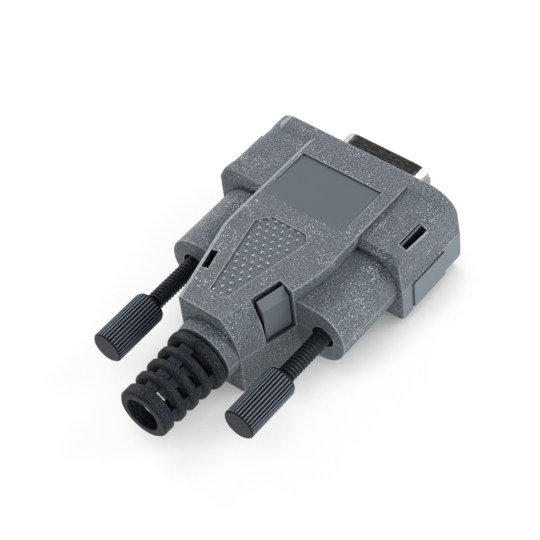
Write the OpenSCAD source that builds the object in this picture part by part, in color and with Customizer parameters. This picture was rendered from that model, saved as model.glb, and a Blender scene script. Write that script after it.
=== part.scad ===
// Nine-way D-sub hood: two identical snap-together half shells round a socket
// connector, with captive thumbscrews, a cable clamp and a slotted strain-relief boot.
// The pieces are drawn with Y = 0 at the rear step of the flange block and Z = 0 on the
// parting plane, and moved as one so that the hood stands on its flat underside.

/* [Flange block] */
// Wall of the flange block beside the connector flange, on each side
flange_side = 1.955; // [1.8:0.005:2.6]
// Depth of the flange block, front to back
flange_d = 15; // [14.5:0.1:17]
// Thickness of the hood over its spine and front rim
hood_t = 15.2; // [14.8:0.1:17]
// Thickness over the pads beside the spine, at their rear end
pad_t = 13.9; // [13.6:0.1:14.2]
// How much higher each pad is at its front end
pad_rise = 0.25; // [0:0.05:0.4]
// Depth of the full-height rim at the front
rim_d = 2.1; // [1.9:0.1:2.6]
// Corner radius of the flange block's left side at the front
corner_r = 3.3; // [2:0.1:3.6]
// Width of the broader corner on its right side at the front
corner_w = 5.6; // [4:0.1:6]
// Height of that corner
corner_h = 4; // [3:0.1:4.2]
// Corner radius of the flange block at its rear step
step_r = 0.8; // [0.4:0.1:1.2]
// Wall of the mouldings
wall = 1.5; // [1.3:0.1:1.7]

/* [Spine] */
// Width of the spine beside the pads
spine_w = 18.5; // [18:0.1:19.4]
// Length of the spine behind the step
spine_l = 23.7; // [23:0.1:27]
// Width of the spine at its rear face
spine_end_w = 10.8; // [10.7:0.1:12]
// Length of the parallel part behind the step
spine_straight = 8.4; // [7:0.1:10]
// Radius of the crowned wall behind the latch tab
crown_r = 12; // [11:0.5:20]
// Width of the sloped band along the left edge
edge_bevel = 0.6; // [0.3:0.05:0.8]

/* [Screw ears] */
// Width over both ears
ear_w = 32.9; // [32:0.1:33.8]
// Length of the ears behind the step
ear_l = 13.2; // [12:0.1:15]
// Thickness of the ears
ear_t = 10.4; // [10:0.1:11.4]
// Radius of the rounded outer side of an ear
ear_r = 5; // [4.6:0.1:5]
// Hole for the thumbscrew in the ear's rear wall
ear_hole_d = 3.9; // [3.5:0.1:4.2]
// Bore that the retaining ring slides in
ring_bore_d = 6.2; // [6:0.1:6.6]

/* [Label and grip] */
// Width of the label pocket
label_w = 15.1; // [12:0.1:16]
// Length of the label pocket
label_l = 9.9; // [8:0.1:11]
// Depth of the label pocket at its front edge
label_depth = 0.3; // [0.15:0.05:0.4]
// Offset of the label and grip from the middle
art_x = -0.65; // [-1.2:0.05:0]
// Width of the grip field at its front
grip_w = 9.3; // [8:0.1:10]
// Width of the grip field at its rear
grip_end_w = 3.1; // [3:0.1:5]
// Length of the grip field
grip_l = 16.4; // [12:0.1:17]
// Depth of the grip field
grip_depth = 0.2; // [0.1:0.05:0.4]

/* [Latches] */
// Length of a rear latch tab
tab_l = 4.8; // [4:0.1:5.4]
// Thickness of a rear latch tab
tab_t = 1.35; // [1.1:0.05:1.5]
// Gap in front of and behind a rear latch tab
tab_gap = 0.25; // [0.15:0.05:0.4]
// Open slot inside a rear latch tab
tab_slot = 1.0; // [0.8:0.1:1.2]
// How far a rear tab's face lies inside the wall's face
tab_inset = 0.65; // [0.4:0.05:0.8]
// Length of the slot in a pad
pad_slot_l = 5.3; // [4.5:0.1:6.5]
// Width of the slot in a pad
pad_slot_w = 1.4; // [1.2:0.05:1.6]

/* [Boot] */
// Bore of the boot for the cable
cable_d = 5.7; // [5:0.1:6.4]
// Outer diameter of the boot's base ring
boot_d = 10.5; // [10.2:0.1:11]
// Outer diameter of the boot's tip
boot_tip_d = 8.7; // [8.4:0.1:9.4]
// Length of the boot behind the collar
boot_l = 13.4; // [12:0.1:16]
// Number of slotted gaps along the boot
boot_gaps = 4; // [3:1:5]
// Length of a ring between two gaps
ring_l = 1.5; // [1.2:0.1:1.7]
// Angle that each web takes
web_angle = 30; // [24:1:40]

/* [Thumbscrews] */
// Distance between the thumbscrews
screw_span = 24.99; // [24.9:0.01:25.1]
// Diameter over the screw thread
screw_d = 2.85; // [2.7:0.05:2.9]
// Length of the screw in front of its knob
screw_l = 32.8; // [30:0.1:36]
// Diameter of a knob
knob_d = 5.3; // [5:0.1:6]
// Length of a knob
knob_l = 10.3; // [8:0.1:12]
// Number of ribs round a knob
knob_ribs = 30; // [24:1:36]
// Distance that the left screw is pulled out
left_out = 9.8; // [1:0.1:9.9]
// Distance that the right screw is pulled out
right_out = 9.4; // [1:0.1:9.9]
// Full travel of a thumbscrew
screw_travel = 9.9; // [9.9:0.1:10]

/* [Connector] */
// Distance from a thumbscrew's axis to the end of the connector flange
flange_end = 2.9; // [2.7:0.1:3]
// Height of the connector flange
conn_h = 12.5; // [12.3:0.1:12.6]
// Width of the socket shell at its wide side
shell_w = 16.33; // [16.2:0.01:16.5]
// Height of the socket shell
shell_h = 7.9; // [7.7:0.05:8.1]
// Length of the socket shell in front of the flange
shell_l = 6; // [5.5:0.1:6.2]
// Thickness of the shell plate
plate_t = 0.5; // [0.4:0.05:0.6]
// Depth of the hood's lip in front of the connector flange
lip_d = 0.8; // [0.6:0.1:1]
// Distance between contacts in a row
contact_pitch = 2.77; // [2.7:0.01:2.8]
// Distance between the two rows
row_pitch = 2.84; // [2.8:0.01:2.9]

/* [Hidden] */

fit = 0.05; // running fit, all round
gap = 0.15; // gap between the two mouldings' latch parts
over = 1; // how far a cutting solid runs past a face
conn_w = screw_span + 2 * flange_end;
hood_w = conn_w + 2 * flange_side;
half_w = hood_w / 2;
half_t = hood_t / 2;
pad_z = pad_t / 2;
spine_x = spine_w / 2;
spine_end_x = spine_end_w / 2;
ear_x = ear_w / 2;
ear_z = ear_t / 2;
screw_x = screw_span / 2;
rim_y = flange_d - rim_d;
inner_z = half_t - wall;

// the spine's tapered wall, as seen from above
taper = atan2(spine_x - spine_end_x, spine_l - spine_straight);
bend_r = 16; // radius where the parallel part turns into the taper
bend_l = bend_r * tan(taper / 2);

// connector, from the hood's lip backwards
flange_front_y = flange_d - lip_d;
flange_back_y = flange_front_y - 2 * plate_t;
shell_front_y = flange_front_y + shell_l;
cup_y = 3.4; // rear end of the solder cups
tail_w = 17.6; // insulator behind the flange
tail_h = 9.4;
tail_y = 8.2;
skirt_l = 2.6; // rear shell's skirt round that insulator
eyelet_d = 3.9;
eyelet_bore = 3.05;
flare_w = 0.25; // turned-over edge of an eyelet
flare_t = 0.35;

// boot and collar
collar_l = 2.3;
collar_r = boot_d / 2 + 0.05;
boot_y = -spine_l - collar_l;
boot_tip_y = boot_y - boot_l;
neck_r = 3.9; // boot's neck inside the collar
disc_r = 4.8; // boot's disc inside the spine
disc_t = 1.4;
disc_y = -spine_l + wall; // rear face of that disc

// thumbscrew stations
ear_wall = 1.4;
ring_t = 0.4;
ring_d = 5.6;
neck_d = 2.2; // bottom of the ring groove
ring_from_shoulder = screw_travel + ear_wall; // ring's rear face in front of the knob

// the part stands on its underside, in the middle of its length
shift_y = -(shell_front_y + boot_tip_y) / 2;
module place() { translate([0, shift_y, half_t]) children(); }
module turned() { rotate([0, 180, 0]) children(); }

function oval(cx, cy, rx, ry, a0, a1, n) = [for (i = [0:n])
    let (a = a0 + (a1 - a0) * i / n) [cx + rx * cos(a), cy + ry * sin(a)]];
function arc(cx, cy, r, a0, a1, n) = oval(cx, cy, r, r, a0, a1, n);

// ---- half shell: outer form ----

// section of the flange block: square at the parting plane, a round corner of radius r
// on the left, and a broader one, w by h, over a wall with draft on the right
module block_section(top, r, w, h) {
    n = 10;
    x = half_w - 0.1 * corner_h;
    polygon(concat([[-half_w, -over], [half_w, -over], [half_w, 0]],
        oval(x - w, top - h, w, h, 0, 90, n), arc(-half_w + r, top - r, r, 90, 180, n)));
}

// thin slice of the block at y, its corners a share k of those at the front
module block_slice(y, top, k) {
    slice = 0.02;
    translate([0, y + slice, 0]) rotate([90, 0, 0]) linear_extrude(slice)
        block_section(top, corner_r * k, corner_w * k, corner_h * k);
}

// pads: they rise slightly to the front, with a chamfer at the step and one up to the rim,
// and their corners grow towards the rim
pad_chamfer = 0.85;
rim_chamfer = 1.1;
module pads() {
    k = step_r / corner_r;
    front_z = pad_z + pad_rise;
    hull() {
        block_slice(0, pad_z - pad_chamfer, k);
        block_slice(pad_chamfer, pad_z, k * 1.5);
        block_slice(rim_y - rim_chamfer, front_z, 0.9);
    }
    hull() {
        block_slice(rim_y - rim_chamfer, front_z, 0.9);
        block_slice(rim_y, half_t, 1);
    }
}

module rim() {
    translate([0, flange_d, 0]) rotate([90, 0, 0]) linear_extrude(rim_d)
        block_section(half_t, corner_r, corner_w, corner_h);
}

// outline of the spine seen from above, grown inwards by in
function spine_outline(in) =
    let (x = spine_x - in, r = bend_r, yb = -spine_straight,
        right = arc(x - r, yb + bend_l, r, 0, -taper, 6),
        end_x = spine_end_x - in / cos(taper) )
    concat([[x, flange_d - rim_d / 2]], right, [[end_x, -spine_l], [-end_x, -spine_l]],
        [for (i = [6:-1:0]) [-right[i][0], right[i][1]]], [[-x, flange_d - rim_d / 2]]);

module spine_prism(in, z0, z1) {
    translate([0, 0, z0]) linear_extrude(z1 - z0) polygon(spine_outline(in));
}

// frame on the right tapered wall: X outwards, Y along the wall towards the front
module on_wall() {
    translate([spine_end_x, -spine_l, 0]) rotate([0, 0, -taper]) children();
}

tab_y = 5.3; // rear end of a rear latch tab, along the wall from the rear face
recess_y = tab_y - 2 * tab_gap;
recess_l = tab_l + 3 * tab_gap;
recess_in = tab_inset + tab_t + tab_slot;
recess_wall = 0.9;

// what the crowned corner behind the tab takes off
module crown_cut() {
    on_wall() difference() {
        translate([-6, -3, 0]) cube([8, recess_y + 3, half_t + over]);
        translate([-crown_r, recess_y + over, 0]) rotate([90, 0, 0])
            cylinder(r = crown_r, h = 2 * recess_y + 2 * over, $fn = 96);
    }
}

// sloped band along the left edge, from the rim to the rear
edge_drop = 0.25;
module edge_wedge(length) {
    rotate([90, 0, 0]) linear_extrude(length)
        polygon([[-edge_bevel, half_t], [over, half_t - edge_drop * (1 + over / edge_bevel)],
            [over, half_t + over], [-edge_bevel, half_t + over]]);
}

module edge_bevel_cut() {
    mirror([1, 0, 0]) {
        on_wall() translate([0, spine_l - spine_straight + bend_l, 0]) edge_wedge(2 * spine_l);
        translate([spine_x, rim_y, 0]) edge_wedge(rim_y + spine_straight);
    }
}

module ear_section() {
    cx = ear_x - ear_r;
    cz = ear_z - ear_r;
    union() {
        translate([0, 0]) square([cx, ear_z]);
        translate([0, 0]) square([ear_x, cz]);
        intersection() {
            translate([cx, cz]) circle(r = ear_r, $fn = 64);
            square([ear_x + over, ear_z + over]);
        }
    }
}

module ears() {
    for (s = [0, 1]) mirror([s, 0, 0])
        translate([0, over, 0]) rotate([90, 0, 0]) linear_extrude(ear_l + over) ear_section();
}

module collar() {
    translate([0, -spine_l + over, 0]) rotate([90, 0, 0])
        cylinder(r = collar_r, h = over + 0.01, $fn = 96);
    translate([0, -spine_l, 0]) rotate([90, 0, 0])
        cylinder(r1 = collar_r, r2 = collar_r - 0.25, h = collar_l, $fn = 96);
}

// smooth strip on the left side of the flange block: it stands proud of the wall, and its
// top stands free in a notch in the block's corner
strip_y = 2.7;
strip_l = 7.8;
strip_z = 5.2;
strip_t = 0.85;
strip_proud = 0.3;
strip_free = 0.6; // height of the part that stands free
module strip() {
    translate([-half_w - strip_proud, strip_y, 0]) cube([strip_t, strip_l, strip_z]);
}

module strip_notch() {
    x = half_w + strip_proud - strip_t - 1.3 * gap;
    difference() {
        translate([-half_w - over, strip_y - 1.3 * gap, strip_z - strip_free])
            cube([half_w + over - x, strip_l + 2.6 * gap, half_t]);
        strip();
    }
}

// ---- half shell: inside ----

chamber_z = half_t - corner_r;
chamber_x = half_w - wall;
chamber_y = wall;
front_wall = 2.5; // wall that backs the connector flange
lip_x = conn_w / 2 - 0.5; // opening in front of the flange
lip_z = conn_h / 2 - 0.7;

module cavity() {
    // under the spine, narrowed beside the right latch recess
    difference() {
        spine_prism(wall, -over, inner_z);
        translate([-spine_x, -spine_l - over, -2 * over])
            cube([spine_w, wall + over, half_t + 3 * over]);
        translate([-spine_x, flange_front_y - 3, -2 * over])
            cube([spine_w, 8, half_t + 3 * over]);
        on_wall() translate([-recess_in - recess_wall, -over, -2 * over])
            cube([6, recess_y + recess_l + recess_wall + over, half_t + 3 * over]);
    }
    // behind the connector, from side to side
    translate([-chamber_x, chamber_y, -over])
        cube([2 * chamber_x, flange_back_y - front_wall - chamber_y, chamber_z + over]);
    // window for the connector's rear skirt
    translate([-tail_w / 2 - plate_t - gap, tail_y - gap, -over])
        cube([tail_w + 2 * plate_t + 2 * gap, flange_front_y - tail_y,
            tail_h / 2 + plate_t + gap + over]);
    // mouth in the lip in front of the flange
    translate([-lip_x, flange_back_y, -over]) cube([2 * lip_x, 5, lip_z + over]);
    // groove for the connector flange
    translate([0, flange_front_y + fit, 0]) rotate([90, 0, 0])
        linear_extrude(2 * plate_t + 2 * fit) flange_outline(fit);
}

module screw_way() {
    for (s = [-1, 1]) translate([s * screw_x, 0, 0]) rotate([90, 0, 0]) {
        translate([0, 0, -over - chamber_y]) cylinder(d = ring_bore_d,
            h = ear_l - ear_wall + over + chamber_y, $fn = 64);
        translate([0, 0, ear_l - ear_wall - over]) cylinder(d = ear_hole_d,
            h = ear_wall + 2 * over, $fn = 48);
        translate([0, 0, -flange_back_y - 0.5]) cylinder(d = ear_hole_d,
            h = front_wall + over + 0.5, $fn = 48);
        translate([0, 0, -flange_back_y - 0.5]) cylinder(
            d = eyelet_d + 2 * flare_w + 2 * gap, h = flare_t + gap + 0.5, $fn = 48);
    }
}

module boot_seat() {
    translate([0, disc_y, 0]) rotate([90, 0, 0])
        cylinder(r = neck_r + fit, h = wall + collar_l + over, $fn = 64);
    translate([0, disc_y + disc_t + fit, 0]) rotate([90, 0, 0])
        cylinder(r = disc_r + fit, h = disc_t + 2 * fit, $fn = 64);
    // way for the cable through the block beside the latch recess
    x = cable_d / 2 + gap;
    translate([-x, disc_y + disc_t, -over]) cube([2 * x, spine_l / 4, x + gap + over]);
}

// right rear recess for the other half's tab, and the ledge that catches its hook
hook_z = 4.6; // distance of the hook's nose from the parting plane
hook_out = 0.45;
hook_back = 0.5; // slope of the holding side
hook_lead = 1.2; // slope of the leading side
catch_gap = 0.2; // between the ledge and the tab
module recess() {
    on_wall() {
        translate([-recess_in, recess_y, 0]) cube([recess_in + 4, recess_l, half_t + over]);
        translate([-recess_in - 0.01, recess_y, -over]) cube([recess_in + 4, recess_l, over + 0.01]);
    }
}

module catch_ledge() {
    x = -recess_in + tab_slot - catch_gap;
    z = hook_z - hook_back - 0.1;
    on_wall() translate([0, recess_y + recess_l, 0]) rotate([90, 0, 0])
        linear_extrude(recess_l) polygon([[-recess_in - 0.01, z - 1.8], [x, z - 0.9], [x, z],
            [-recess_in - 0.01, z]]);
}

// own tab, on the left: it grows from this half's wall and enters the other half
tab_root = 3;
module tab() {
    tip = half_t - 0.05;
    x = -tab_inset - tab_t;
    mirror([1, 0, 0]) on_wall() translate([0, tab_y + tab_l, 0]) rotate([90, 0, 0])
        linear_extrude(tab_l) polygon([[-tab_inset, tab_root], [x, tab_root],
            [x, -hook_z + hook_back],
            [x - hook_out, -hook_z], [x, -hook_z - hook_lead], [x, -tip],
            [-tab_inset, -tip + tab_t]]);
}

// slot in the right pad, which shows the end of the other half's front latch
slot_x = 14.75;
slot_y = 2.95;
module pad_slot() {
    translate([slot_x, slot_y, chamber_z - over]) cube([pad_slot_w, pad_slot_l, 6]);
}

// own front latch, on the left: a leaf from the pad down into the other half, which ends
// in a thin lip along its inner side
leaf_drop = 2; // how far the rest of the leaf's end lies below the lip
lip_t = 0.3;
module leaf() {
    top = chamber_z + wall / 2;
    tip = pad_z - gap;
    x = -chamber_x + gap;
    x_in = -slot_x - 1.5 * gap;
    translate([0, slot_y + pad_slot_l - gap, 0]) rotate([90, 0, 0])
        linear_extrude(pad_slot_l - 2 * gap)
        polygon([[x - 2 * gap, top], [x - 2 * gap, 0], [x, 0], [x, leaf_drop - tip],
            [x_in - lip_t, leaf_drop - tip], [x_in - lip_t, -tip], [x_in, -tip], [x_in, top]]);
}

// window beside the left edge, over the root of the own tab
window_w = 1.2;
window_l = 3.6;
window_in = 0.6; // skin left outside it
window_y = 1; // from the tab's rear end
module window() {
    mirror([1, 0, 0]) on_wall()
        translate([-window_w - window_in, tab_y + window_y, tab_root + window_in])
        cube([window_w, window_l, half_t]);
}

// shallow ramp for the label, deepest at its front edge
module label_pocket() {
    front = 9.5;
    translate([art_x - label_w / 2, front, half_t - label_depth])
        rotate([-atan2(label_depth, label_l), 0, 0])
        translate([0, -label_l - 1, 0]) cube([label_w, label_l + 1, 2]);
}

// grip field: a wedge-shaped pocket with its corners cut
grip_y = -3.75;
module grip_field() {
    c = 1.2;
    a = grip_w / 2;
    b = grip_end_w / 2;
    translate([art_x - 0.2, grip_y, half_t - grip_depth]) linear_extrude(2)
        polygon([[-a + 1.35 * c, 0], [a - c, 0], [a, -c], [b, -grip_l + c / 2],
            [b - c / 2, -grip_l], [-b, -grip_l], [-a, -1.75 * c]]);
}

module half_shell() {
    difference() {
        intersection() {
            union() {
                pads();
                rim();
                strip();
                ears();
                collar();
                difference() {
                    spine_prism(0, 0, half_t);
                    crown_cut();
                    edge_bevel_cut();
                }
            }
            translate([-hood_w, -60, 0]) cube([2 * hood_w, 100, hood_t]);
        }
        cavity();
        screw_way();
        boot_seat();
        recess();
        pad_slot();
        strip_notch();
        window();
        label_pocket();
        grip_field();
    }
    tab();
    catch_ledge();
    leaf();
    clamp_ledges();
}

// ---- boot ----

base_ring_l = 2.3;
tip_ring_l = 2.3;
web_drop = 0.6; // how far the webs lie below the rings
slots_l = boot_l - base_ring_l - tip_ring_l;
gap_l = (slots_l - (boot_gaps - 1) * ring_l) / boot_gaps;
ring_pitch = gap_l + ring_l;

// radius of a middle ring: the boot narrows quickly at first and then slowly
function boot_r(y) = boot_d / 2 - (boot_d - boot_tip_d) / 2 * pow(y / boot_l, 0.5);

// base ring: a thin flange against the collar, a groove and a bulged ring
module base_ring() {
    r = boot_d / 2;
    polygon([[0, 0], [r - 0.25, 0], [r - 0.2, 0.4], [r - 0.45, 0.45], [r - 0.45, 0.65],
        [r - 0.05, 0.75], [r, 1.3], [r - 0.12, 1.9], [r - 0.45, base_ring_l], [0, base_ring_l]]);
}

// a ring of the boot with rounded shoulders, from y to y + len behind the collar
module boot_ring(y, len, r) {
    c = 0.35;
    polygon([[neck_r - 1, y], [r - c, y], [r, y + c], [r, y + len - c], [r - c, y + len],
        [neck_r - 1, y + len]]);
}

module boot() {
    color("#1c2024") place() translate([0, boot_y, 0]) rotate([90, 0, 0]) difference() {
        rotate_extrude($fn = 96) union() {
            translate([0, -collar_l - wall - disc_t]) square([disc_r, disc_t]);
            translate([0, -collar_l - wall - disc_t]) square([neck_r, collar_l + wall + disc_t]);
            base_ring();
            for (i = [1:boot_gaps - 1])
                let (y = base_ring_l + i * ring_pitch - ring_l) boot_ring(y, ring_l, boot_r(y));
            boot_ring(boot_l - tip_ring_l, tip_ring_l, boot_tip_d / 2);
            polygon([[0, 0], [boot_d / 2 - web_drop, 0], [boot_tip_d / 2 - web_drop, boot_l - 1],
                [0, boot_l - 1]]);
        }
        translate([0, 0, -collar_l - wall - disc_t - over])
            cylinder(d = cable_d, h = boot_l + collar_l + wall + disc_t + 2 * over, $fn = 64);
        for (i = [0:boot_gaps - 1], q = [0:3])
            translate([0, 0, base_ring_l + i * ring_pitch]) rotate([0, 0, 90 * q])
                linear_extrude(gap_l) polygon(slot_wedge());
    }
}

// wedge between two webs
function slot_wedge() = let (a = 45 - web_angle / 2)
    [for (t = [-a, a]) 7 * [cos(45 + t), sin(45 + t)],
        for (t = [a, -a]) 1.5 * [cos(45 + t), sin(45 + t)]];

// ---- thumbscrews ----

function knurl(r, depth, n) = [for (i = [0:n - 1], k = [0:3])
    let (a = (i + [0.02, 0.3, 0.5, 0.82][k]) * 360 / n, q = r - [0, 0, depth, depth][k])
    [q * cos(a), q * sin(a)]];

socket_l = 7.5; // how deep the screw sits in its knob

// knob behind the shoulder plane, its axis along -Y
module knob() {
    rotate([90, 0, 0]) difference() {
        intersection() {
            linear_extrude(knob_l) polygon(knurl(knob_d / 2, 0.22, knob_ribs));
            rotate_extrude($fn = 64) polygon([[0, 0], [knob_d / 2 - 0.75, 0],
                [knob_d / 2 - 0.25, 0.25], [knob_d / 2, 0.8], [knob_d / 2, knob_l - 0.25],
                [knob_d / 2 - 0.25, knob_l], [0, knob_l]]);
        }
        translate([0, 0, -over]) cylinder(d = screw_d + 0.02, h = socket_l + over, $fn = 48);
    }
}

module screw() {
    tip_c = 0.35;
    rotate([-90, 0, 0]) rotate_extrude($fn = 48) polygon([[0, -socket_l + fit],
        [screw_d / 2, -socket_l + fit], [screw_d / 2, ring_from_shoulder - fit],
        [neck_d / 2, ring_from_shoulder - fit], [neck_d / 2, ring_from_shoulder + ring_t + fit],
        [screw_d / 2, ring_from_shoulder + ring_t + fit], [screw_d / 2, screw_l - tip_c],
        [screw_d / 2 - tip_c, screw_l], [0, screw_l]]);
}

// open retaining ring that snaps into the screw's groove
module ring() {
    rotate([-90, 0, 0]) translate([0, 0, ring_from_shoulder]) linear_extrude(ring_t)
        difference() {
            circle(d = ring_d, $fn = 48);
            circle(d = neck_d + 2 * fit, $fn = 48);
            translate([-neck_d / 2 + 0.15, 0]) square([neck_d - 0.3, ring_d]);
            for (s = [-1, 1]) translate([s * 1.75, -0.3]) circle(d = 0.7, $fn = 16);
        }
}

// stations: the shoulder plane of each knob at rest
module at_left() { place() translate([-screw_x, -ear_l - left_out, 0]) children(); }
module at_right() { place() translate([screw_x, -ear_l - right_out, 0]) children(); }

// ---- connector ----

// D outline, wide side up, with ten-degree sides and round corners
module d_plate(w, h, r) {
    lean = 10;
    n = 8;
    cx = w / 2 - r;
    cz = h / 2 - r;
    bx = cx - 2 * cz * tan(lean);
    polygon(concat(arc(cx, cz, r, -lean, 90, n), arc(-cx, cz, r, 90, 180 + lean, n),
        arc(-bx, -cz, r, 180 + lean, 270, n), arc(bx, -cz, r, 270, 360 - lean, n)));
}

// outline of the connector flange, grown by grow
module flange_outline(grow) {
    r = 2;
    w = conn_w / 2 + grow;
    h = conn_h / 2 + grow;
    polygon(concat(arc(w - r, h - r, r, 0, 90, 6), arc(r - w, h - r, r, 90, 180, 6),
        arc(r - w, r - h, r, 180, 270, 6), arc(w - r, r - h, r, 270, 360, 6)));
}

module flange_plate(y) {
    translate([0, y + plate_t, 0]) rotate([90, 0, 0]) linear_extrude(plate_t) difference() {
        flange_outline(0);
        for (s = [-1, 1]) translate([s * screw_x, 0]) circle(d = eyelet_d + 0.02, $fn = 48);
    }
}

shell_r = 2.5;
body_w = shell_w - 2 * plate_t - 0.02; // insulator inside the socket shell
body_h = shell_h - 2 * plate_t - 0.02;

module along_y(y0, y1) {
    translate([0, y1, 0]) rotate([90, 0, 0]) linear_extrude(y1 - y0) children();
}

module front_shell() {
    color("#8d8f90") place() difference() {
        union() {
            flange_plate(flange_front_y - plate_t);
            along_y(flange_front_y - plate_t / 2, shell_front_y) d_plate(shell_w, shell_h, shell_r);
        }
        along_y(flange_front_y - over, shell_front_y + over)
            d_plate(shell_w - 2 * plate_t, shell_h - 2 * plate_t, shell_r - plate_t);
    }
}

module rear_shell() {
    color("#9a9c9d") place() difference() {
        union() {
            flange_plate(flange_back_y);
            along_y(flange_back_y - skirt_l, flange_back_y + plate_t / 2)
                d_plate(tail_w + 2 * plate_t, tail_h + 2 * plate_t, 2);
        }
        along_y(flange_back_y - skirt_l - over, flange_front_y) d_plate(tail_w, tail_h, 1.5);
    }
}

function contact_x(i) = i < 5 ? (i - 2) * contact_pitch : (i - 6.5) * contact_pitch;
function contact_z(i) = (i < 5 ? 0.5 : -0.5) * row_pitch;
contact_d = 1.7;
pin_d = 1.04; // bore for the plug's pin
pin_l = 5.8;
cup_bore = 1.15;
cup_l = 2; // scooped length of a solder cup
contact_front_y = shell_front_y - 0.9;

module insulator() {
    color("#17191b") place() difference() {
        union() {
            along_y(flange_front_y - plate_t, shell_front_y - 0.4)
                d_plate(body_w, body_h, shell_r - plate_t - 0.01);
            along_y(tail_y, flange_front_y - plate_t) d_plate(tail_w - 0.04, tail_h - 0.04, 1.48);
        }
        for (i = [0:8]) translate([contact_x(i), 0, contact_z(i)]) rotate([-90, 0, 0]) {
            translate([0, 0, tail_y - over]) cylinder(d = contact_d + 0.02,
                h = contact_front_y - tail_y + over + fit, $fn = 32);
            cylinder(d = pin_d + gap, h = shell_front_y + over, $fn = 24);
        }
    }
}

// socket contact: a drilled barrel in front and a scooped solder cup behind
module contact(i) {
    color("#c9a24a") place() translate([contact_x(i), 0, contact_z(i)]) rotate([-90, 0, 0])
        difference() {
            translate([0, 0, cup_y]) cylinder(d = contact_d, h = contact_front_y - cup_y, $fn = 32);
            translate([0, 0, contact_front_y - pin_l]) cylinder(d = pin_d, h = pin_l + over, $fn = 24);
            translate([0, 0, cup_y - over]) cylinder(d = cup_bore, h = cup_l + 1 + over, $fn = 24);
            translate([-contact_d, i < 5 ? -contact_d - 0.2 : 0.2, cup_y - over])
                cube([2 * contact_d, contact_d, cup_l + over]);
        }
}

// tubular rivet through both flange plates
module eyelet(s) {
    r = eyelet_d / 2;
    color("#a5a7a8") place() translate([s * screw_x, 0, 0]) rotate([-90, 0, 0])
        rotate_extrude($fn = 48) polygon([[eyelet_bore / 2, flange_back_y - flare_t],
            [r + flare_w, flange_back_y - flare_t], [r + flare_w, flange_back_y],
            [r, flange_back_y], [r, flange_front_y], [r + flare_w, flange_front_y],
            [r + flare_w - 0.15, flange_front_y + flare_t],
            [eyelet_bore / 2, flange_front_y + flare_t]]);
}

// ---- cable clamp ----

clamp_y = -spine_straight + 1.6;
clamp_w = 3.2;
clamp_t = 1;
clamp_gap = 0.8; // half the space between the strips
clamp_x = spine_x - wall - 0.35; // half the length of a strip
clamp_arch = 2.6;
clamp_screw_d = 2;
clamp_head_d = 3.4;
clamp_screw_x = 4.95;

// ledge in each half that the clamp's ends lie on
module clamp_ledges() {
    x = clamp_screw_x + clamp_head_d / 2 + gap;
    z = clamp_gap + clamp_t;
    for (s = [0, 1]) mirror([s, 0, 0]) translate([x, clamp_y - clamp_w / 2, z])
        cube([spine_x - wall + 0.3 - x, clamp_w, inner_z - z + 0.5]);
}

module clamp_strip(hole_d) {
    translate([0, clamp_y + clamp_w / 2, 0]) rotate([90, 0, 0]) difference() {
        linear_extrude(clamp_w) difference() {
            union() {
                intersection() {
                    circle(r = clamp_arch + clamp_t, $fn = 48);
                    translate([-5, clamp_gap]) square([10, 10]);
                }
                translate([-clamp_x, clamp_gap]) square([2 * clamp_x, clamp_t]);
            }
            circle(r = clamp_arch, $fn = 48);
        }
        for (s = [-1, 1]) translate([s * clamp_screw_x, 0, clamp_w / 2]) rotate([-90, 0, 0])
            cylinder(d = hole_d, h = 8, $fn = 32);
    }
}

module clamp_screw(s) {
    head_z = clamp_gap + clamp_t;
    color("silver") place() translate([s * clamp_screw_x, clamp_y, 0]) difference() {
        union() {
            translate([0, 0, -head_z - 0.9]) cylinder(d = clamp_screw_d, h = 2 * head_z + 1, $fn = 32);
            translate([0, 0, head_z]) cylinder(d = clamp_head_d, h = 1.2, $fn = 48);
        }
        translate([-3, -0.25, head_z + 0.7]) cube([6, 0.5, 2]);
    }
}

module upper_clamp() { color("silver") place() clamp_strip(clamp_screw_d + 0.3); }
module lower_clamp() { color("silver") place() turned() clamp_strip(clamp_screw_d + 0.02); }
module left_clamp_screw() { clamp_screw(-1); }
module right_clamp_screw() { clamp_screw(1); }

module upper_shell() { color("slategray") place() half_shell(); }
module lower_shell() { color("slategray") place() turned() half_shell(); }
module left_knob() { color("#2a2f35") at_left() knob(); }
module right_knob() { color("#2a2f35") at_right() knob(); }
module left_screw() { color("#202326") at_left() screw(); }
module right_screw() { color("#202326") at_right() screw(); }
module left_ring() { color("#55585a") at_left() ring(); }
module right_ring() { color("#55585a") at_right() ring(); }
module left_eyelet() { eyelet(-1); }
module right_eyelet() { eyelet(1); }

upper_shell();
lower_shell();
boot();
left_knob();
left_screw();
left_ring();
right_knob();
right_screw();
right_ring();
front_shell();
rear_shell();
insulator();
left_eyelet();
right_eyelet();
upper_clamp();
lower_clamp();
left_clamp_screw();
right_clamp_screw();
for (i = [0:8]) contact(i);
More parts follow.
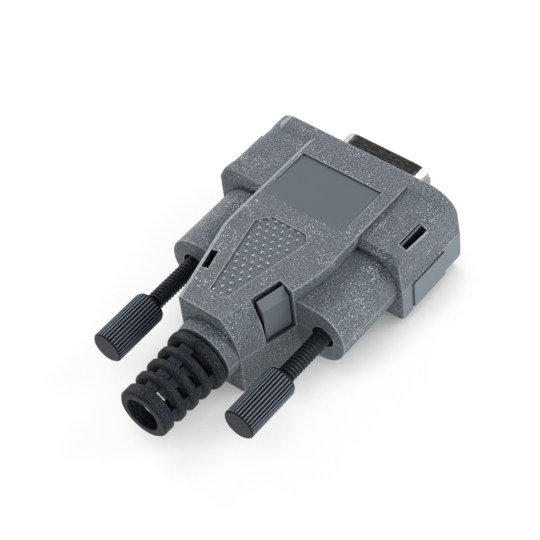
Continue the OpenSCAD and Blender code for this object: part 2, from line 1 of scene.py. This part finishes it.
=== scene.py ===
# Nine-way D-sub hood with its thumbscrews, clamp, boot and socket connector.
import math
import bpy
import bmesh
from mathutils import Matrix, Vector


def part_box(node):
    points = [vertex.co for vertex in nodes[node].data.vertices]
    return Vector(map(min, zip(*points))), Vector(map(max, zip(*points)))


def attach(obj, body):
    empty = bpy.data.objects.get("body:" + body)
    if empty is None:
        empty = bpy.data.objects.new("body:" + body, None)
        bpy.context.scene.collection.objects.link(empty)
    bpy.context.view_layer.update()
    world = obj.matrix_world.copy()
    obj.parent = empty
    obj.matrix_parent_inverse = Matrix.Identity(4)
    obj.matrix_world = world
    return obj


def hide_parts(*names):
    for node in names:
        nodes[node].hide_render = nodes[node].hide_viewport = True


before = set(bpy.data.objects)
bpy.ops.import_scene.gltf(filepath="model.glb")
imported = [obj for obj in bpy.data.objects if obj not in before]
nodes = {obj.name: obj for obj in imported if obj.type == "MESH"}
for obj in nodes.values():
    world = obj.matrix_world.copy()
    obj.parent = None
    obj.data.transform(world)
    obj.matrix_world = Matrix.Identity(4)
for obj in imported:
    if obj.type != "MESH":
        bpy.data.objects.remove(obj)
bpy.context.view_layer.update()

mm = 0.001


# ---- Table and studio ----
# A white table under a soft sky. A broad lamp far right and a small one far left make the
# edges and the grain glint, one behind the camera fills the near walls, and a weak low
# one lights the left ends.

def linear(colour):
    """Linear colour of an sRGB hex value."""
    parts = [int(colour[i:i + 2], 16) / 255 for i in (1, 3, 5)]
    return tuple(p / 12.92 if p <= 0.04045 else ((p + 0.055) / 1.055) ** 2.4 for p in parts) + (1.0,)


def add(tree, kind, settings=None, inputs=None):
    """Adds a node, sets its options, and sets or links its inputs.

    A node given as an input stands for its first output that is in use.
    """
    made = tree.nodes.new(kind)
    for name, value in (settings or {}).items():
        setattr(made, name, value)
    for name, value in (inputs or {}).items():
        if isinstance(value, bpy.types.Node):
            value = next(output for output in value.outputs if output.enabled)
        if isinstance(value, bpy.types.NodeSocket):
            tree.links.new(value, made.inputs[name])
        else:
            made.inputs[name].default_value = value
    return made


def new_material(name):
    """An empty node material and its tree."""
    material = bpy.data.materials.new(name)
    material.use_nodes = True
    material.node_tree.nodes.clear()
    return material, material.node_tree


def deselect():
    """Leaves edit mode and selects nothing."""
    if bpy.context.object and bpy.context.object.mode != "OBJECT":
        bpy.ops.object.mode_set(mode="OBJECT")
    bpy.ops.object.select_all(action="DESELECT")


deselect()
bpy.ops.mesh.primitive_plane_add(size=1.6)
table = bpy.context.object
table.name = "table_top"

# Matt white laminate: its own shading carries the lamps' shadow, and a plain share of
# white on top keeps the table white. Ambient occlusion dims that white near the object,
# so part of the contact shadow is painted.
laminate, tree = new_material("Matt white laminate")
path = add(tree, "ShaderNodeLightPath")
grain = add(tree, "ShaderNodeTexNoise", None, {"Scale": 60.0, "Detail": 2.0})
tone = add(tree, "ShaderNodeMix", {"data_type": "RGBA"}, {
    0: grain, 6: linear("#FAFAFA"), 7: linear("#FFFFFF")})
matt = add(tree, "ShaderNodeBsdfDiffuse", None, {"Color": tone})
open_air = add(tree, "ShaderNodeAmbientOcclusion", {"samples": 16}, {"Distance": 9 * mm})
contact = add(tree, "ShaderNodeMapRange", None, {
    "Value": open_air.outputs["AO"], 1: -0.1, 2: 0.8})
white = add(tree, "ShaderNodeEmission", None, {"Color": linear("#FFFFFF"), "Strength": contact})
lifted = add(tree, "ShaderNodeMixShader", None, {0: 0.82, 1: matt, 2: white})
seen = add(tree, "ShaderNodeMath", {"operation": "MAXIMUM"}, {
    0: path.outputs["Is Camera Ray"], 1: path.outputs["Is Glossy Ray"]})
seen = add(tree, "ShaderNodeMath", {"operation": "MAXIMUM"}, {
    0: seen, 1: path.outputs["Is Transmission Ray"]})
surface = add(tree, "ShaderNodeMixShader", None, {0: seen, 1: matt, 2: lifted})
add(tree, "ShaderNodeOutputMaterial", None, {"Surface": surface})
table.data.materials.append(laminate)

world = bpy.data.worlds.new("Studio sky")
bpy.context.scene.world = world
world.use_nodes = True
tree = world.node_tree
tree.nodes.clear()
path = add(tree, "ShaderNodeLightPath")
sky = add(tree, "ShaderNodeBackground", None, {"Color": linear("#FFFFFF"), "Strength": 0.55})
# in mirrors the sky is bright along the horizon and dark overhead
ray = add(tree, "ShaderNodeTexCoord")
rise = add(tree, "ShaderNodeSeparateXYZ", None, {"Vector": ray.outputs["Generated"]})
band = add(tree, "ShaderNodeMapRange", None, {
    "Value": rise.outputs[2], 1: 0.2, 2: 0.6, 3: 1.2, 4: 0.06})
dark_sky = add(tree, "ShaderNodeBackground", None, {"Color": linear("#FFFFFF"), "Strength": band})
backdrop = add(tree, "ShaderNodeBackground", None, {"Color": linear("#FFFFFF"), "Strength": 1.0})
mirrored = add(tree, "ShaderNodeMixShader", None, {
    0: path.outputs["Is Glossy Ray"], 1: sky, 2: dark_sky})
surface = add(tree, "ShaderNodeMixShader", None, {
    0: path.outputs["Is Camera Ray"], 1: mirrored, 2: backdrop})
add(tree, "ShaderNodeOutputWorld", None, {"Surface": surface})


def lamp(name, place, aim, size, power):
    """A white square softbox at place, turned towards aim."""
    data = bpy.data.lights.new(name, "AREA")
    data.size = size
    data.energy = power
    made = bpy.data.objects.new(name, data)
    bpy.context.scene.collection.objects.link(made)
    made.location = place
    made.rotation_euler = (Vector(aim) - Vector(place)).to_track_quat("-Z", "Y").to_euler()


middle = (0, 0.005, 0.008)
lamp("softbox_far_right", (0.5, 0.5, 0.5), middle, 0.4, 5.6)
lamp("softbox_far_left", (-0.62, 0.12, 0.4), middle, 0.16, 3.0)
lamp("softbox_near_right", (0.6, -0.45, 0.28), middle, 0.35, 1.5)
lamp("low_strip_left", (-0.6, 0.38, 0.1), middle, 0.15, 0.2)

camera = bpy.data.objects.new("camera", bpy.data.cameras.new("camera"))
bpy.context.scene.collection.objects.link(camera)
camera.data.sensor_width = 36
camera.data.lens = 122.06
camera.data.clip_start = 0.01
camera.data.clip_end = 10
camera.location = (0.12647, -0.1291, 0.21702)
camera.rotation_euler = tuple(math.radians(a) for a in (41.014, 4.936, 38.755))
bpy.context.scene.camera = camera
bpy.context.scene.view_settings.view_transform = "Standard"


# ---- Half shells ----
# Two identical mouldings in blue-grey ABS that snap together. The tool is spark-eroded,
# which leaves a fine grain everywhere but in the polished label pocket, on one side face
# and on the latch tab and leaf. The grain's glints are painted highlights, as pale flecks.

mid_z = 7.6          # parting plane

# spans on the upper half, in mm; z counts from the parting plane
label_box = ((-8.15, 6.85), (9.2, 19.1), (7.2, 8.0))
strip_box = ((-18.0, -16.85), (12.32, 20.08))    # smooth strip on the side face
side_span = (-18.0, -17.2)                       # the side face round it is smooth too
latch_span = (-9.0, -0.02)                       # tab and leaf, past the parting plane
leaf_box = ((-18.0, -14.0), (-6.7, -0.02))       # front latch without its lip, x and z
field_floor = (7.35, 7.45)                       # floor of the grip field, z
edge_span = (7.3, 8.0)                           # z of the sloped band along the edge
edge_tilt = (-0.7, -0.1)                         # x of the band's normal
parting_span = (-0.1, 0.1)
wall_corner = (-5.4, -14.1, 0)                   # rear end of the tapered wall
taper = math.radians(14.12)
window_box = ((6.24, 9.96), (0.54, 1.86), (3.55, 7.45))   # along the wall, across it, z


def inside(tree, spans):
    """A mask that is 1 where every value lies in its span."""
    mask = None
    for value, (low, high) in spans:
        near = add(tree, "ShaderNodeMath", {"operation": "COMPARE"}, {
            0: value, 1: (low + high) / 2, 2: (high - low) / 2})
        if mask:
            near = add(tree, "ShaderNodeMath", {"operation": "MULTIPLY"}, {0: mask, 1: near})
        mask = near
    return mask


def edge_masks(tree, line_mm, crease_mm, slot_mm):
    """Masks for convex edges, for creases and for the depth of slots."""
    masks = []
    for within, reach, low, high in (
            (True, line_mm, 0.95, 0.6), (False, crease_mm, 0.8, 0.45), (False, slot_mm, 0.45, 0.2)):
        near = add(tree, "ShaderNodeAmbientOcclusion", {
            "samples": 6, "inside": within, "only_local": within}, {"Distance": reach * mm})
        masks.append(add(tree, "ShaderNodeMapRange", None, {
            "Value": near.outputs["AO"], 1: low, 2: high, 3: 0.0, 4: 1.0}))
    return masks


def lay_colours(tree, colour, layers):
    """Lays each hue over the last by its mask and strength."""
    for mask, strength, hue in layers:
        cover = add(tree, "ShaderNodeMath", {"operation": "MULTIPLY"}, {0: mask, 1: strength})
        colour = add(tree, "ShaderNodeMix", {"data_type": "RGBA"}, {
            0: cover, 6: colour, 7: linear(hue)})
    return colour


def spark_eroded_abs(name, side):
    """The hood's plastic; side is 1 on the upper half and -1 on the turned lower one."""
    material, tree = new_material(name)
    place = add(tree, "ShaderNodeTexCoord").outputs["Object"]
    at = add(tree, "ShaderNodeVectorMath", {"operation": "SCALE"}, {0: place, "Scale": 1000.0})
    part = add(tree, "ShaderNodeSeparateXYZ", None, {"Vector": at})
    y = part.outputs[1]
    x = add(tree, "ShaderNodeMath", {"operation": "MULTIPLY"}, {0: part.outputs[0], 1: side})
    rise = add(tree, "ShaderNodeMath", {"operation": "SUBTRACT"}, {0: part.outputs[2], 1: mid_z})
    z = add(tree, "ShaderNodeMath", {"operation": "MULTIPLY"}, {0: rise, 1: side})

    # grit of about 0.25 mm, drawn coarser than the real 0.1 mm so that it shows
    grit = add(tree, "ShaderNodeTexNoise", None, {
        "Vector": at, "Scale": 4.2, "Detail": 2.0, "Roughness": 0.8}).outputs[0]
    pits = add(tree, "ShaderNodeTexVoronoi", None, {"Vector": at, "Scale": 3.6}).outputs["Distance"]
    # painted pale flecks, in place of the few crystals that glint in a lamp: they lie in
    # loose drifts, and none is in the grip field
    fleck = add(tree, "ShaderNodeTexVoronoi", None, {"Vector": at, "Scale": 4.2})
    near = add(tree, "ShaderNodeMapRange", None, {
        "Value": fleck.outputs["Distance"], 1: 0.26, 2: 0.38, 3: 1.0, 4: 0.0})
    lucky = add(tree, "ShaderNodeSeparateColor", None, {"Color": fleck.outputs["Color"]}).outputs[0]
    drift = add(tree, "ShaderNodeTexNoise", None, {
        "Vector": at, "Scale": 0.25, "Detail": 1.0}).outputs[0]
    luck = add(tree, "ShaderNodeMath", {"operation": "ADD"}, {0: lucky, 1: drift})
    chosen = add(tree, "ShaderNodeMapRange", None, {"Value": luck, 1: 1.2, 2: 1.6})
    floor = inside(tree, ((z, field_floor),))
    off_floor = add(tree, "ShaderNodeMath", {"operation": "SUBTRACT"}, {0: 1.0, 1: floor})
    spark = near
    for share in (chosen, off_floor):
        spark = add(tree, "ShaderNodeMath", {"operation": "MULTIPLY"}, {0: spark, 1: share})

    # smooth faces: the label pocket, the side, and the tab and leaf
    strip = inside(tree, ((x, strip_box[0]), (y, strip_box[1])))
    side_face = inside(tree, ((x, side_span),))
    strip = add(tree, "ShaderNodeMath", {"operation": "MAXIMUM"}, {0: strip, 1: side_face})
    smooth = inside(tree, zip((x, y, z), label_box))
    for face in (inside(tree, ((z, latch_span),)), strip):
        smooth = add(tree, "ShaderNodeMath", {"operation": "MAXIMUM"}, {0: smooth, 1: face})
    rough = add(tree, "ShaderNodeMath", {"operation": "SUBTRACT"}, {0: 1.0, 1: smooth})

    # window: a deep slot along the tapered wall, its inside painted in shade
    own = add(tree, "ShaderNodeCombineXYZ", None, {0: x, 1: y, 2: z})
    own = add(tree, "ShaderNodeVectorMath", {"operation": "SUBTRACT"}, {0: own, 1: wall_corner})
    along = add(tree, "ShaderNodeVectorMath", {"operation": "DOT_PRODUCT"}, {
        0: own, 1: (-math.sin(taper), math.cos(taper), 0)})
    across = add(tree, "ShaderNodeVectorMath", {"operation": "DOT_PRODUCT"}, {
        0: own, 1: (math.cos(taper), math.sin(taper), 0)})
    window = inside(tree, zip((along, across, z), window_box))

    # painted light and shade, where the real plastic has one colour: highlights on convex edges, the
    # sloped band and the upper half's parting line; shade in creases, slots, the window, the latch
    # leaf and the lower half's parting line
    facing = add(tree, "ShaderNodeNewGeometry").outputs["True Normal"]
    facing = add(tree, "ShaderNodeSeparateXYZ", None, {"Vector": facing}).outputs[0]
    tilt = add(tree, "ShaderNodeMath", {"operation": "MULTIPLY"}, {0: facing, 1: side})
    band = inside(tree, ((tilt, edge_tilt), (z, edge_span)))
    line, crease, slot = edge_masks(tree, 0.3, 0.5, 2.4)
    line = add(tree, "ShaderNodeMath", {"operation": "MULTIPLY"}, {0: line, 1: rough})
    # the latch leaf is painted dark, as shade
    leaf = inside(tree, ((x, leaf_box[0]), (z, leaf_box[1])))
    dark = add(tree, "ShaderNodeMath", {"operation": "MAXIMUM"}, {0: slot, 1: leaf})
    split = inside(tree, ((z, parting_span),))

    mottle = add(tree, "ShaderNodeMapRange", None, {"Value": grit, 1: 0.4, 2: 0.6})
    ground = add(tree, "ShaderNodeMix", {"data_type": "RGBA"}, {
        0: mottle, 6: linear("#3A4249"), 7: linear("#6B747C")})
    colour = lay_colours(tree, ground, (
        (spark, 1.0, "#F0F3F5"), (smooth, 1.0, "#586068"), (strip, 1.0, "#656E76"),
        (line, 0.55, "#A9B1B8"), (band, 0.6, "#A9B1B8"), (crease, 0.75, "#1B1F23"),
        (dark, 1.0, "#08090B"), (window, 1.0, "#23282A"),
        (split, 0.75, "#9AA2A8" if side > 0 else "#24282C")))

    height = add(tree, "ShaderNodeMath", {"operation": "ADD"}, {0: grit, 1: pits})
    relief = add(tree, "ShaderNodeMath", {"operation": "MULTIPLY"}, {0: height, 1: rough})
    rounded = add(tree, "ShaderNodeBevel", {"samples": 6}, {"Radius": 0.1 * mm})
    bump = add(tree, "ShaderNodeBump", None, {
        "Strength": 0.8, "Distance": 0.17 * mm, "Height": relief, "Normal": rounded})
    skin = add(tree, "ShaderNodeMapRange", None, {"Value": rough, 3: 0.45, 4: 0.42})
    plastic = add(tree, "ShaderNodeBsdfPrincipled", None, {
        "Base Color": colour, "Roughness": skin, "IOR": 1.5, "Normal": bump})
    add(tree, "ShaderNodeOutputMaterial", None, {"Surface": plastic})
    return material


def finish_node(name, material):
    """Puts a material on a CAD node."""
    nodes[name].data.materials.clear()
    nodes[name].data.materials.append(material)


upper_abs = spark_eroded_abs("Spark-eroded ABS", 1)
lower_abs = spark_eroded_abs("Spark-eroded ABS, turned half", -1)
finish_node("upper_shell", upper_abs)
finish_node("lower_shell", lower_abs)


# ---- Grip bumps ----
# Small domes moulded in the sunken grip field of each half, in staggered rows. They are
# taken to come from drilled pits in the tool, so they are smoother than the ground.

grip_front = 5.85              # front edge of the field, y
grip_rear = -10.55             # its rear edge
grip_x = -0.85                 # its middle
grip_half = (4.65, 1.55)       # half its width at the front and at the rear
field_z = 7.4                  # its floor above the parting plane
bump_pitch = (1.4, 1.2)        # across and along the field
bump_rows = 14
row_inset = 0.4                # from the field's front edge to the first row
bump_margin = 0.3              # between the rows' ends and the field's sides
corner_cut = 1.0               # taken off each end of the first row
bump_x = 0.25                  # a bump of the first row
bump_r = 0.38
bump_h = 0.19


def moulded_dome():
    """The same plastic for the bumps, left shiny."""
    material, tree = new_material("Moulded ABS, drilled tool")
    place = add(tree, "ShaderNodeTexCoord").outputs["Object"]
    cloud = add(tree, "ShaderNodeTexNoise", None, {
        "Vector": place, "Scale": 2500.0, "Detail": 2.0}).outputs[0]
    ground = add(tree, "ShaderNodeMix", {"data_type": "RGBA"}, {
        0: cloud, 6: linear("#4A5259"), 7: linear("#6E777F")})
    # a painted glint, which the real plastic hasn't: the flank facing far left is pale
    normal = add(tree, "ShaderNodeNewGeometry").outputs["Normal"]
    facing = add(tree, "ShaderNodeVectorMath", {"operation": "DOT_PRODUCT"}, {
        0: normal, 1: (-0.74, 0.36, 0.57)})
    glint = add(tree, "ShaderNodeMapRange", None, {"Value": facing, 1: 0.66, 2: 0.84})
    colour = lay_colours(tree, ground, ((glint, 1.0, "#E4E9EC"),))
    bump = add(tree, "ShaderNodeBump", None, {
        "Strength": 0.25, "Distance": 0.06 * mm, "Height": cloud})
    plastic = add(tree, "ShaderNodeBsdfPrincipled", None, {
        "Base Color": colour, "Roughness": 0.15, "IOR": 1.6, "Normal": bump})
    add(tree, "ShaderNodeOutputMaterial", None, {"Surface": plastic})
    return material


def bump_places():
    """Centres of the bumps in staggered rows, kept inside the tapered field."""
    places = []
    for row in range(bump_rows):
        y = grip_front - row_inset - row * bump_pitch[1]
        share = (grip_front - y) / (grip_front - grip_rear)
        reach = grip_half[0] + (grip_half[1] - grip_half[0]) * share - bump_margin
        if row == 0:
            reach -= corner_cut
        for i in range(-5, 6):
            x = bump_x + (i + 0.5 * (row % 2)) * bump_pitch[0]
            if abs(x - grip_x) <= reach:
                places.append((x, y))
    return places


def make_domes(name, side):
    """One half's bumps: a dome modelled once, and copied with its own mesh."""
    deselect()
    bpy.ops.mesh.primitive_uv_sphere_add(segments=10, ring_count=6, radius=bump_r * mm)
    dome = bpy.context.object
    bpy.ops.object.mode_set(mode="EDIT")
    bpy.ops.mesh.select_all(action="SELECT")
    bpy.ops.mesh.bisect(plane_co=(0, 0, 0), plane_no=(0, 0, 1), clear_inner=True, use_fill=True)
    bpy.ops.mesh.select_all(action="SELECT")
    bpy.ops.transform.resize(value=(1, 1, bump_h / bump_r), center_override=(0, 0, 0))
    bpy.ops.object.mode_set(mode="OBJECT")
    copies = []
    for x, y in bump_places():
        copy = dome.copy()
        copy.data = dome.data.copy()
        bpy.context.scene.collection.objects.link(copy)
        if side < 0:
            copy.rotation_euler = (0, math.pi, 0)
        copy.location = (side * x * mm, y * mm, (mid_z + side * field_z) * mm)
        copies.append(copy)
    bpy.data.objects.remove(dome)
    deselect()
    for copy in copies:
        copy.select_set(True)
    bpy.context.view_layer.objects.active = copies[0]
    bpy.ops.object.join()
    domes = bpy.context.object
    bpy.ops.object.transform_apply(location=True, rotation=True, scale=True)
    bpy.ops.object.shade_smooth_by_angle(angle=math.radians(50))
    domes.name = name
    domes.data.name = name
    domes.data.materials.clear()
    domes.data.materials.append(dome_abs)
    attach(domes, "hood")


dome_abs = moulded_dome()
make_domes("upper_grip_domes", 1)
make_domes("lower_grip_domes", -1)


# ---- Strain-relief boot ----
# One moulding in black flexible PVC, with its rings joined by four narrow webs. It has
# a fine matt grain, and the collar holds it by a neck and a disc.

def matt_black(name, dark, light, grain_mm, roughness, edge_mm, depth_mm, pale, rib=None):
    """A black surface with a fine grain; rib is an axis and a radius on a ribbed knob.

    Pale edges are a painted highlight and dark gaps are painted shade. The IOR is far below a
    real plastic's 1.5, to keep the white studio out of the blacks.
    """
    material, tree = new_material(name)
    place = add(tree, "ShaderNodeTexCoord").outputs["Object"]
    grain = add(tree, "ShaderNodeTexNoise", None, {
        "Vector": place, "Scale": 1 / (grain_mm * mm), "Detail": 3.0, "Roughness": 0.7}).outputs[0]
    share = add(tree, "ShaderNodeMapRange", None, {"Value": grain, 1: 0.46, 2: 0.7})
    ground = add(tree, "ShaderNodeMix", {"data_type": "RGBA"}, {
        0: share, 6: linear(dark), 7: linear(light)})
    line, crease, slot = edge_masks(tree, edge_mm, 0.5, 1.6)
    layers = [(line, 0.5, pale), (crease, 0.5, "#030304"), (slot, 1.0, "#010102")]
    if rib:
        # painted light: pale rib tops and black grooves, by distance from the axis
        axis_x, outer_r = rib
        part = add(tree, "ShaderNodeSeparateXYZ", None, {"Vector": place})
        out = add(tree, "ShaderNodeMath", {"operation": "ABSOLUTE"}, {0: part.outputs[0]})
        out = add(tree, "ShaderNodeMath", {"operation": "SUBTRACT"}, {0: out, 1: axis_x * mm})
        up = add(tree, "ShaderNodeMath", {"operation": "SUBTRACT"}, {
            0: part.outputs[2], 1: mid_z * mm})
        spoke = add(tree, "ShaderNodeCombineXYZ", None, {0: out, 1: up})
        over = add(tree, "ShaderNodeVectorMath", {"operation": "LENGTH"}, {0: spoke})
        top = add(tree, "ShaderNodeMapRange", None, {
            "Value": over, 1: (outer_r - 0.1) * mm, 2: (outer_r - 0.02) * mm})
        facing = add(tree, "ShaderNodeNewGeometry").outputs["True Normal"]
        facing = add(tree, "ShaderNodeSeparateXYZ", None, {"Vector": facing}).outputs[1]
        flank = inside(tree, ((facing, (-0.5, 0.5)),))
        ridge = add(tree, "ShaderNodeMath", {"operation": "MULTIPLY"}, {0: flank, 1: top})
        layers += [(flank, 1.0, "#030406"), (ridge, 1.0, pale)]
    colour = lay_colours(tree, ground, layers)
    rounded = add(tree, "ShaderNodeBevel", {"samples": 6}, {"Radius": edge_mm * mm})
    bump = add(tree, "ShaderNodeBump", None, {
        "Strength": 0.7, "Distance": depth_mm * mm, "Height": grain, "Normal": rounded})
    skin = add(tree, "ShaderNodeBsdfPrincipled", None, {
        "Base Color": colour, "Roughness": roughness, "IOR": 1.27, "Normal": bump})
    add(tree, "ShaderNodeOutputMaterial", None, {"Surface": skin})
    return material


finish_node("boot", matt_black(
    "Moulded soft PVC", "#020406", "#3B4652", 0.2, 0.5, 0.35, 0.14, "#252D36"))


# ---- Thumbscrew knobs ----
# Nylon mouldings with thirty sharp ribs, each pressed over the plain end of its screw.
# The rib tops are painted pale and the grooves black, in place of light and shade.

low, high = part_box("right_knob")
knob_x = (low[0] + high[0]) / 2 / mm
knob_r = (high[2] - low[2]) / 2 / mm
knob_nylon = matt_black(
    "Moulded nylon", "#131920", "#2D3640", 0.3, 0.42, 0.1, 0.05, "#626C77", (knob_x, knob_r))
for side in ("left", "right"):
    finish_node(side + "_knob", knob_nylon)


# ---- Thumbscrews ----
# Steel screws with a rolled 4-40 thread, a turned groove for the retaining ring and a
# thin black oxide, and a ring of phosphated spring steel in that groove. The crests of
# the thread are painted a little brighter, as a highlight.

blackened = matt_black("Black-oxide steel", "#14181D", "#2F363E", 0.3, 0.42, 0.05, 0.03, "#4A525B")
spring_steel = matt_black(
    "Phosphated spring steel", "#3A3C3E", "#55585A", 0.3, 0.4, 0.05, 0.02, "#4A5056")
thread_pitch = 0.635
root_flat = 0.12               # these lengths along the screw, with two flanks, make one pitch
crest_flat = 0.115
flank_l = 0.2
crest_r = 1.42
root_r = 1.16
core_r = root_r - 0.02         # the solid core ends just under the root
tip_r = 0.75
tip_l = 0.35                   # chamfer at the front end
bare_l = 0.3                   # between the end of the thread and the tip
cone_l = 0.3                   # from the plain stretch down to the root
socket_l = 7.45                # plain end inside the knob
plain_l = 0.5                  # plain stretch in front of the knob
groove_y = 11.55               # middle of the ring groove, in front of the knob
groove_half = 0.3


def thread(y_from, y_to, x, z):
    """A stretch of thread round an axis along Y, cut square and closed at both ends."""
    deselect()
    bpy.ops.mesh.primitive_plane_add(size=2 * mm)
    strand = bpy.context.object
    bpy.ops.object.mode_set(mode="EDIT")
    bpy.ops.mesh.select_all(action="SELECT")
    bpy.ops.mesh.merge(type="CENTER")
    bpy.ops.transform.translate(value=(root_r * mm, 0, 0))
    depth = crest_r - root_r
    for dx, dz in ((0, root_flat), (depth, flank_l), (0, crest_flat), (-depth, flank_l)):
        bpy.ops.mesh.extrude_region_move(TRANSFORM_OT_translate={"value": (dx * mm, 0, dz * mm)})
    bpy.ops.object.mode_set(mode="OBJECT")
    turns = math.ceil((y_to - y_from) / thread_pitch) + 2
    wind = strand.modifiers.new("Screw", "SCREW")
    wind.axis = "Z"
    wind.screw_offset = thread_pitch * mm
    wind.iterations = turns
    wind.steps = 20
    wind.render_steps = 20
    wind.use_merge_vertices = True
    wind.merge_threshold = 0.001 * mm
    bpy.ops.object.modifier_apply(modifier="Screw")
    bpy.ops.object.mode_set(mode="EDIT")
    bpy.ops.mesh.select_all(action="SELECT")
    low = thread_pitch * mm
    high = (thread_pitch + y_to - y_from) * mm
    bpy.ops.mesh.bisect(plane_co=(0, 0, low), plane_no=(0, 0, 1), clear_inner=True, use_fill=True)
    bpy.ops.mesh.select_all(action="SELECT")
    bpy.ops.mesh.bisect(plane_co=(0, 0, high), plane_no=(0, 0, 1), clear_outer=True, use_fill=True)
    bpy.ops.mesh.select_all(action="SELECT")
    bpy.ops.mesh.normals_make_consistent(inside=False)
    bpy.ops.object.mode_set(mode="OBJECT")
    strand.rotation_euler = (-math.pi / 2, 0, 0)
    strand.location = (x, (y_from - thread_pitch) * mm, z)
    bpy.ops.object.transform_apply(location=True, rotation=True, scale=True)
    return strand


def shaft(y_from, y_to, r, end_r, end_l, x, z):
    """A plain turned length with a chamfer or point at its front end."""
    deselect()
    bpy.ops.mesh.primitive_cylinder_add(vertices=24, radius=r * mm, depth=(y_to - y_from) * mm,
                                        location=(x, (y_from + y_to) / 2 * mm, z),
                                        rotation=(-math.pi / 2, 0, 0))
    made = bpy.context.object
    bpy.ops.object.transform_apply(location=True, rotation=True, scale=True)
    bpy.ops.object.mode_set(mode="EDIT")
    bpy.ops.mesh.select_all(action="DESELECT")
    net = bmesh.from_edit_mesh(made.data)
    for face in net.faces:
        face.select_set(face.normal.y > 0.9)
    net.select_flush_mode()
    bmesh.update_edit_mesh(made.data)
    bpy.ops.mesh.extrude_region_move(TRANSFORM_OT_translate={"value": (0, end_l * mm, 0)})
    bpy.ops.transform.resize(value=(end_r / r, 1, end_r / r))
    bpy.ops.object.mode_set(mode="OBJECT")
    return made


def make_screw(side):
    """One thumbscrew's shaft with its thread, in place of the plain CAD screw."""
    node = side + "_screw"
    low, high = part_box(node)
    x = (low[0] + high[0]) / 2
    z = (low[2] + high[2]) / 2
    shoulder = low[1] / mm + socket_l
    tip = high[1] / mm
    pieces = [
        shaft(shoulder - socket_l, shoulder + plain_l - cone_l, crest_r, root_r, cone_l, x, z),
        shaft(shoulder, tip - tip_l, core_r, tip_r, tip_l, x, z),
        thread(shoulder + plain_l, shoulder + groove_y - groove_half, x, z),
        thread(shoulder + groove_y + groove_half, tip - bare_l, x, z)]
    deselect()
    for piece in pieces:
        piece.select_set(True)
    bpy.context.view_layer.objects.active = pieces[0]
    bpy.ops.object.join()
    screw = bpy.context.object
    bpy.ops.object.shade_smooth_by_angle(angle=math.radians(25))
    screw.name = side + "_threaded_screw"
    screw.data.name = screw.name
    screw.data.materials.clear()
    screw.data.materials.append(blackened)
    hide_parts(node)
    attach(screw, side + "_thumbscrew")


for side in ("left", "right"):
    make_screw(side)
    finish_node(side + "_ring", spring_steel)


# ---- Socket connector ----
# Two pressed steel shells with a nickel finish round a black insulator, with nine
# gold-finished contacts in two rows and a rivet at each end.

def plated(name, colour, tint, roughness, edge_mm):
    """A plated sheet metal with faint polishing marks."""
    material, tree = new_material(name)
    place = add(tree, "ShaderNodeTexCoord").outputs["Object"]
    marks = add(tree, "ShaderNodeMapping", None, {
        "Vector": place, "Scale": (900.0, 2500.0, 2500.0)})
    cloud = add(tree, "ShaderNodeTexNoise", None, {
        "Vector": marks, "Scale": 1.0, "Detail": 4.0, "Roughness": 0.7})
    share = add(tree, "ShaderNodeMapRange", None, {"Value": cloud, 1: 0.4, 2: 0.7})
    plating = add(tree, "ShaderNodeMix", {"data_type": "RGBA"}, {
        0: share, 6: linear(colour), 7: linear(tint)})
    gloss = add(tree, "ShaderNodeMapRange", None, {
        "Value": cloud, 1: 0.3, 2: 0.7, 3: roughness - 0.06, 4: roughness + 0.08})
    rounded = add(tree, "ShaderNodeBevel", {"samples": 6}, {"Radius": edge_mm * mm})
    metal = add(tree, "ShaderNodeBsdfPrincipled", None, {
        "Base Color": plating, "Metallic": 1.0, "Roughness": gloss, "Normal": rounded})
    add(tree, "ShaderNodeOutputMaterial", None, {"Surface": metal})
    return material


nickel = plated("Nickel-plated steel", "#8F8D8A", "#BDBBB8", 0.24, 0.25)
gold = plated("Gold-plated brass", "#C9A24A", "#D8B45E", 0.2, 0.1)
for name in ("front_shell", "rear_shell", "left_eyelet", "right_eyelet"):
    finish_node(name, nickel)
for i in range(9):
    finish_node("contact_%d" % (i + 1), gold)
finish_node("insulator", matt_black(
    "Glass-filled PBT", "#121416", "#1E2124", 0.2, 0.5, 0.1, 0.03, "#4A5056"))


# ---- Cable clamp ----
# Two pressed strips and two screws of zinc-plated steel, which hold the cable's jacket
# inside the hood. None of them shows from outside.

zinc = plated("Zinc-plated steel", "#A9ABAD", "#BBBDBF", 0.35, 0.1)
for name in ("upper_clamp", "lower_clamp", "left_clamp_screw", "right_clamp_screw"):
    finish_node(name, zinc)
